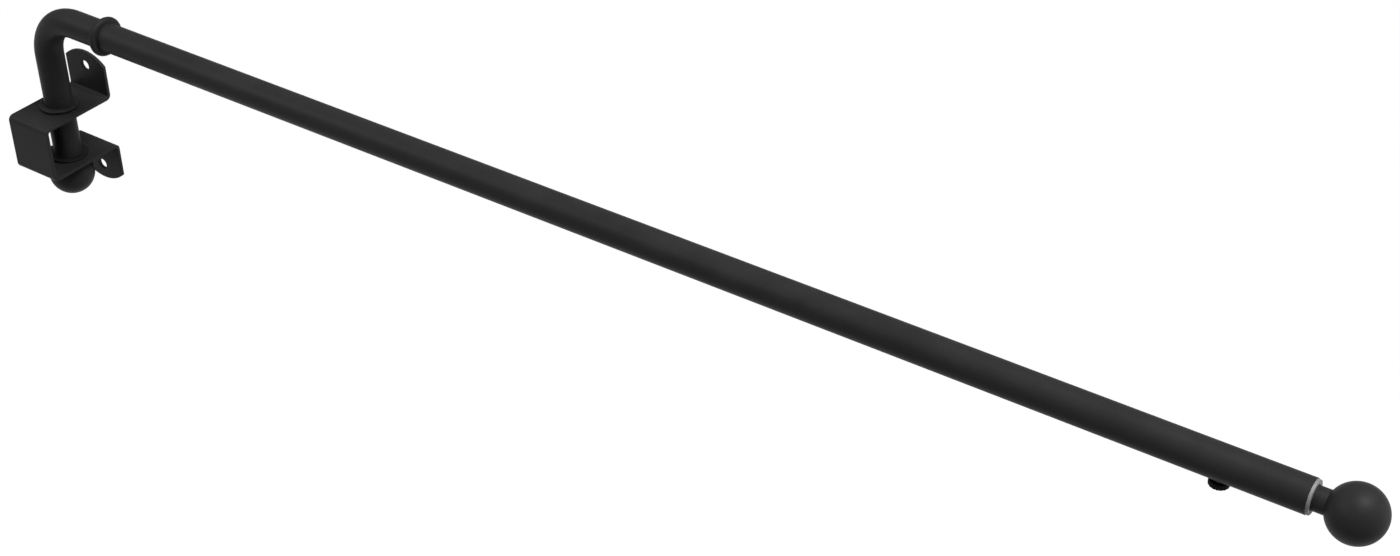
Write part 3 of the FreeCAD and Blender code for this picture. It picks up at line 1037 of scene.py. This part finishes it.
@dataclass
class SwingArm:
    """Everything that swings: the bent post, its collar and ball, and the long arm tube."""

    tube_radius: float = 8.0 * MM
    tube_wall: float = 1.0 * MM
    elbow_bend_radius: float = 26.5 * MM
    elbow_steps: int = 48
    collar_radius: float = 11.1 * MM
    collar_bore_radius: float = 8.05 * MM
    spigot_radius: float = 6.95 * MM
    spigot_chamfer: float = 1.0 * MM
    connector_bore_radius: float = 4.0 * MM
    connector_collar_width: float = 3.6 * MM
    crown_share: float = 0.999
    rim_rounding: float = 0.12 * MM
    fixed_clearance: float = 0.05 * MM
    lock_hole_radius: float = 3.35 * MM
    lock_rings: int = 8
    lock_bush_radius: float = 3.3 * MM
    lock_bush_bore_radius: float = 2.08 * MM
    guide_flange_radius: float = 7.7 * MM
    guide_flange_length: float = 1.3 * MM
    guide_rounding: float = 0.3 * MM
    guide_bore_radius: float = 5.58 * MM
    ball_seat_radius: float = 9.28 * MM

    def bent_tube(self) -> None:
        """Bends the post and the elbow from one tube and shows them."""
        tube = Piece("bent_post", "swing_arm_tube", "arm", SATIN_BLACK)
        low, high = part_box(tube.node)
        post = middle("post_collar")
        arm = middle("outer_tube")
        corners = [
            Vector((post.x, post.y, low.z)),
            Vector((post.x, post.y, arm.z)),
            Vector((high.x, post.y, arm.z)),
        ]
        line = path_object("post_line", corners)
        values = {
            "Bend Radius": self.elbow_bend_radius,
            "Bend Steps": self.elbow_steps,
            "Sides": Level.TUBE.value,
            "Tube Radius": self.tube_radius,
            "Wall": self.tube_wall,
            "Material": tube.finish.material(),
        }
        mesh = bent_tube_recipe().shape(line.data.copy(), values)
        bpy.data.objects.remove(line)
        tube.show(mesh)

    def half_round(self, foot: float, height: float) -> list[Corner]:
        """The two rounded corners of a collar whose edge is a half circle."""
        crown = height / 2 * self.crown_share
        return [Corner(self.collar_radius, foot, crown), Corner(self.collar_radius, foot + height, crown)]

    def collar(self) -> None:
        """Turns the ring that carries the arm on the bracket and shows it."""
        ring = Piece("post_ring", "post_collar", "arm", SATIN_BLACK)
        height = ring.length()
        rim = self.half_round(0.0, height)
        ring.turn([Corner(self.collar_bore_radius, 0.0), *rim, Corner(self.collar_bore_radius, height)])

    def connector(self) -> None:
        """Turns the collar with its two spigots and shows it."""
        connector = Piece("elbow_connector", "tube_connector", "arm", SATIN_BLACK, Axis.OUTWARD)
        length = connector.length()
        spigot = (length - self.connector_collar_width) / 2
        chamfered = self.spigot_radius - self.spigot_chamfer
        corners = [
            Corner(self.connector_bore_radius, 0.0),
            Corner(chamfered, 0.0),
            Corner(self.spigot_radius, self.spigot_chamfer),
            Corner(self.spigot_radius, spigot),
            *self.half_round(spigot, self.connector_collar_width),
            Corner(self.spigot_radius, spigot + self.connector_collar_width),
            Corner(self.spigot_radius, length - self.spigot_chamfer),
            Corner(chamfered, length),
            Corner(self.connector_bore_radius, length),
        ]
        connector.turn(corners)

    def arm_tube(self) -> None:
        """Turns the long tube, drills it for the lock screw and shows it."""
        long_tube = Piece("arm_tube", "outer_tube", "arm", SATIN_BLACK, Axis.OUTWARD)
        length = long_tube.length()
        lock = middle("lock_bush")
        bore = self.tube_radius - self.tube_wall
        corners = rounded_outline(ring_corners(self.tube_radius, bore, length, self.rim_rounding), True)
        lock_place = lock.x - long_tube.foot().x
        near_lock = [lock_place + ring * MM for ring in range(-self.lock_rings, self.lock_rings + 1)]
        outer = [(self.tube_radius, place) for place in near_lock]
        inner = [(bore, place) for place in reversed(near_lock)]
        head = max(index for index, (_, height) in enumerate(corners) if height < length / 2)
        outline = corners[: head + 1] + outer + corners[head + 1:] + inner
        tube = linked("tube_blank", turned(outline, True, long_tube.placement(), Level.TUBE))
        rim = [Corner(self.lock_hole_radius, height) for height in (0.0, self.tube_radius)]
        hole = rounded_outline([Corner(0.0, 0.0), *rim, Corner(0.0, self.tube_radius)], False)
        drill_foot = Vector((lock.x, lock.y, lock.z - self.tube_radius / 2))
        drill = linked("drill", turned(hole, False, Axis.UP.placement(drill_foot), Level.SMALL))
        cut = tube.modifiers.new("lock_hole", "BOOLEAN")
        cut.solver = "EXACT"
        cut.object = drill
        mesh = plain_mesh(tube)
        bpy.data.objects.remove(tube)
        bpy.data.objects.remove(drill)
        long_tube.show(mesh)

    def guide(self) -> None:
        """Turns the grey bush in the tube's open end and shows it."""
        guide = Piece("guide_moulding", "guide_bush", "arm", GREY_NYLON, Axis.OUTWARD)
        length = guide.length()
        seat = length - self.guide_flange_length
        corners = [
            Corner(self.guide_bore_radius, 0.0),
            Corner(self.spigot_radius, 0.0),
            Corner(self.spigot_radius, seat),
            Corner(self.guide_flange_radius, seat),
            Corner(self.guide_flange_radius, length, self.guide_rounding),
            Corner(self.guide_bore_radius, length, self.guide_rounding),
        ]
        guide.turn(corners)

    def lock_bush(self) -> None:
        """Turns the blackened brass bush in the tube's wall and shows it."""
        bush = Piece("lock_insert", "lock_bush", "arm", BLACK_BRASS)
        bore = self.lock_bush_bore_radius
        corners = ring_corners(self.lock_bush_radius, bore, bush.length(), self.rim_rounding)
        bush.turn(corners, level=Level.SMALL)

    def build(self) -> None:
        """Builds everything that swings."""
        self.bent_tube()
        self.collar()
        self.connector()
        self.arm_tube()
        self.guide()
        self.lock_bush()
        end = BallEnd()
        plug = Piece("post_plug", "post_end_plug", "arm", PLAIN_STEEL)
        ball = Piece("lower_ball_turning", "lower_ball", "arm", SATIN_BLACK)
        end.ball(ball, plug.foot(), self.ball_seat_radius)
        end.thread.show(Piece("lower_stud", "lower_ball_stud", "arm", PLAIN_STEEL))
        end.plug(plug, self.tube_radius - self.tube_wall - self.fixed_clearance)


@dataclass
class LockScrew:
    """The thumb screw under the arm tube: a threaded stud and its moulded head."""

    thread: Thread = Thread(radius=2.0 * MM, pitch=0.7 * MM, depth=0.4 * MM, chamfer=0.5 * MM)
    head_radius: float = 4.65 * MM
    head_rounding: float = 0.6 * MM
    socket_depth: float = 2.0 * MM
    flute_count: int = 16
    flute_radius: float = 0.6 * MM
    flute_depth: float = 0.25 * MM
    rim_fade: float = 0.55 * MM

    def head(self) -> None:
        """Turns the head, cuts its flutes and shows it."""
        head = Piece("lock_head", "lock_knob", "lock_head", BLACK_PLASTIC)
        height = head.length()
        corners = [
            Corner(0.0, 0.0),
            Corner(self.head_radius, 0.0, self.head_rounding),
            Corner(self.head_radius, height, self.head_rounding),
            Corner(self.thread.radius, height),
            Corner(self.thread.radius, height - self.socket_depth),
            Corner(0.0, height - self.socket_depth),
        ]
        blank = turned(rounded_outline(corners, False), False, Matrix.Identity(4), Level.FLUTED)
        values = {
            "Head Radius": self.head_radius,
            "Flute Count": float(self.flute_count),
            "Flute Radius": self.flute_radius,
            "Flute Depth": self.flute_depth,
            "Rim Fade": self.rim_fade,
            "Material": head.finish.material(),
        }
        mesh = flute_recipe().shape(blank, values)
        mesh.transform(head.placement())
        head.show(mesh)

    def build(self) -> None:
        """Builds the screw."""
        self.thread.show(Piece("lock_stud_thread", "lock_stud", "lock_stud", PLAIN_STEEL))
        self.head()


@dataclass
class Extension:
    """The rod that telescopes out of the arm tube, with its glide and its ball."""

    rod_radius: float = 5.5 * MM
    rod_wall: float = 0.8 * MM
    rim_rounding: float = 0.12 * MM
    fixed_clearance: float = 0.05 * MM
    glide_radius: float = 6.92 * MM
    glide_chamfer: float = 0.8 * MM
    glide_head_length: float = 9.0 * MM

    def rod(self) -> None:
        """Turns the thin tube and shows it."""
        rod = Piece("thin_rod", "inner_rod", "extension", SATIN_BLACK, Axis.OUTWARD)
        bore = self.rod_radius - self.rod_wall
        rod.turn(ring_corners(self.rod_radius, bore, rod.length(), self.rim_rounding))

    def glide(self) -> None:
        """Turns the glide plug and shows it."""
        glide = Piece("glide_plug", "inner_glide", "extension", GREY_NYLON, Axis.OUTWARD)
        length = glide.length()
        spigot_radius = self.rod_radius - self.rod_wall - self.fixed_clearance
        corners = [
            Corner(0.0, 0.0),
            Corner(self.glide_radius - self.glide_chamfer, 0.0),
            Corner(self.glide_radius, self.glide_chamfer),
            Corner(self.glide_radius, self.glide_head_length - self.glide_chamfer),
            Corner(self.glide_radius - self.glide_chamfer, self.glide_head_length),
            Corner(spigot_radius, self.glide_head_length),
            Corner(spigot_radius, length),
            Corner(0.0, length),
        ]
        glide.turn(corners, closed=False, level=Level.SMALL)

    def build(self) -> None:
        """Builds everything that telescopes."""
        self.rod()
        self.glide()
        end = BallEnd()
        plug = Piece("rod_plug", "rod_end_plug", "extension", PLAIN_STEEL, Axis.INWARD)
        ball = Piece("end_ball_turning", "end_ball", "extension", SATIN_BLACK, Axis.INWARD)
        end.ball(ball, plug.foot(), self.rod_radius)
        end.thread.show(Piece("end_stud", "end_ball_stud", "extension", PLAIN_STEEL, Axis.INWARD))
        end.plug(plug, self.rod_radius - self.rod_wall - self.fixed_clearance)


@dataclass(frozen=True)
class Softbox:
    """One large square soft lamp that looks at the middle of the rod."""

    name: str
    place: tuple[float, float, float]
    power: float
    width: float = 1.13


@dataclass
class Studio:
    """The pale floor, the even surroundings, the lamps and the camera."""

    floor_size: float = 100.0
    floor_drop: float = 2.5
    floor_tone: float = 0.2
    floor_lift: float = 0.94
    surroundings: float = 0.2
    camera_place: tuple[float, float, float] = (0.9088, -0.7108, 0.6387)
    camera_heading: float = 124.22
    camera_pitch: float = -34.49
    lens: float = 55.91
    sensor: float = 36.0
    nearest_seen: float = 0.01
    softboxes: tuple[Softbox, ...] = (
        Softbox("overhead_lamp", (1.423, -0.024, 2.835), 80.0),
        Softbox("rear_lamp", (1.875, 0.725, 2.512), 24.0),
        Softbox("left_lamp", (-1.655, -1.429, 1.727), 20.0),
        Softbox("right_lamp", (2.949, 1.489, 0.327), 8.0),
    )

    def paper(self) -> bpy.types.Material:
        """Makes the floor's matt paper.

        Returns:
            A material that takes shadows, and that is drawn white where the background is seen, straight
            or in a reflection.
        """
        paper = bpy.data.materials.new("white_paper")
        paper.use_nodes = True
        board = NodeBoard(paper.node_tree)
        matt = board.node("ShaderNodeBsdfDiffuse", {"Color": (*[self.floor_tone] * 3, 1.0)}).outputs[0]
        path = board.node("ShaderNodeLightPath").outputs
        seen = board.math("MAXIMUM", path["Is Camera Ray"], path["Is Glossy Ray"])
        seen = board.math("MAXIMUM", seen, path["Is Transmission Ray"])
        strength = board.math("MULTIPLY", seen, self.floor_lift)
        lift = board.node("ShaderNodeEmission", {"Strength": strength}).outputs[0]
        both = board.node("ShaderNodeAddShader", {0: matt, 1: lift}).outputs[0]
        board.node("ShaderNodeOutputMaterial", {"Surface": both})
        return paper

    def floor(self) -> None:
        """Lays the floor well below the rod."""
        half = self.floor_size / 2
        level = cad_low.z - self.floor_drop
        mesh = bpy.data.meshes.new("floor")
        corners = [(-half, -half, level), (half, -half, level), (half, half, level), (-half, half, level)]
        mesh.from_pydata(corners, [], [(0, 1, 2, 3)])
        mesh.materials.append(self.paper())
        linked("floor", mesh)

    def world(self) -> None:
        """Surrounds the scene with an even pale light."""
        world = bpy.data.worlds.new("surroundings")
        world.use_nodes = True
        board = NodeBoard(world.node_tree)
        white = {"Color": (1.0, 1.0, 1.0, 1.0), "Strength": self.surroundings}
        sky = board.node("ShaderNodeBackground", white)
        board.node("ShaderNodeOutputWorld", {"Surface": sky.outputs[0]})
        bpy.context.scene.world = world

    def lamps(self) -> None:
        """Hangs the softboxes, turned towards the middle of the rod."""
        target = (cad_low + cad_high) / 2
        for box in self.softboxes:
            lamp = bpy.data.lights.new(box.name, "AREA")
            lamp.shape = "SQUARE"
            lamp.size = box.width
            lamp.energy = box.power
            holder = linked(box.name, lamp)
            holder.location = box.place
            holder.visible_camera = False
            aim = target - Vector(box.place)
            holder.rotation_euler = aim.to_track_quat("-Z", "Y").to_euler()

    def camera(self) -> None:
        """Sets the camera at the photograph's place, level and with no shift."""
        optics = bpy.data.cameras.new("camera")
        optics.lens = self.lens
        optics.sensor_width = self.sensor
        optics.sensor_fit = "HORIZONTAL"
        optics.clip_start = self.nearest_seen
        holder = linked("camera", optics)
        holder.location = self.camera_place
        tilt = math.radians(90 + self.camera_pitch)
        holder.rotation_euler = (tilt, 0.0, math.radians(self.camera_heading - 90))
        bpy.context.scene.camera = holder

    def build(self) -> None:
        """Sets up the whole studio."""
        bpy.context.scene.view_settings.view_transform = "Standard"
        self.floor()
        self.world()
        self.lamps()
        self.camera()


def main() -> None:
    """Builds the rod's sub-assemblies in order, and then the studio."""
    logging.basicConfig(level=logging.INFO, format="%(name)s: %(message)s")
    for assembly in (WallBracket(), SwingArm(), LockScrew(), Extension()):
        assembly.build()
        log.info("%s is dressed", type(assembly).__name__)
    Studio().build()


if __name__ == "__main__":
    main()
